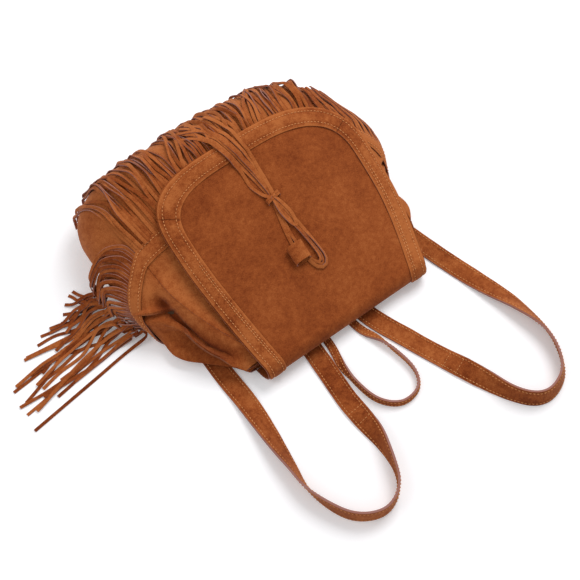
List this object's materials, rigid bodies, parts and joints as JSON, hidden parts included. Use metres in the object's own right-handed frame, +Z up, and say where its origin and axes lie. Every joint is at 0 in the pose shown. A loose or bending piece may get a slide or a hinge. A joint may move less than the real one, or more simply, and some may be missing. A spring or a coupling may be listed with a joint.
{
  "type": "fringed suede bag",
  "caption": "Small suede flap backpack lying on its back, with fringe hung from a yoke band, a tassel on the flap, shoulder straps and a top handle loop.",
  "frame": {"origin": "on the outer face of the back panel, which lies on the straps that pass under the bag", "axes": "+X to the bag's right as laid out, -Y out of the mouth towards the straps, +Z up from back to front"},
  "size_m": [0.492, 0.4807, 0.1186],
  "materials": {
    "body_suede": "napped suede, matt",
    "flap_suede": "napped suede, matt",
    "band_suede": "napped suede, matt",
    "fringe_suede": "napped suede, matt",
    "strap_suede": "napped suede, matt",
    "lining_cotton": "plain weave"
  },
  "bodies": {
    "root": {"front_panel": "body_suede", "gusset": "body_suede", "back_panel": "body_suede", "lining": "lining_cotton", "flap_panel": "flap_suede", "flap_lining": "lining_cotton", "flap_band_left": "band_suede", "flap_band_front": "band_suede", "flap_band_right": "band_suede", "yoke_band": "band_suede", "fringe_front": "fringe_suede", "fringe_left": "fringe_suede", "fringe_right": "fringe_suede", "shoulder_strap_left": "strap_suede", "shoulder_strap_right": "strap_suede", "handle_loop": "strap_suede", "tassel_tab": "fringe_suede", "tassel_strands": "fringe_suede", "tassel_knot": "fringe_suede"}
  },
  "joints": []
}
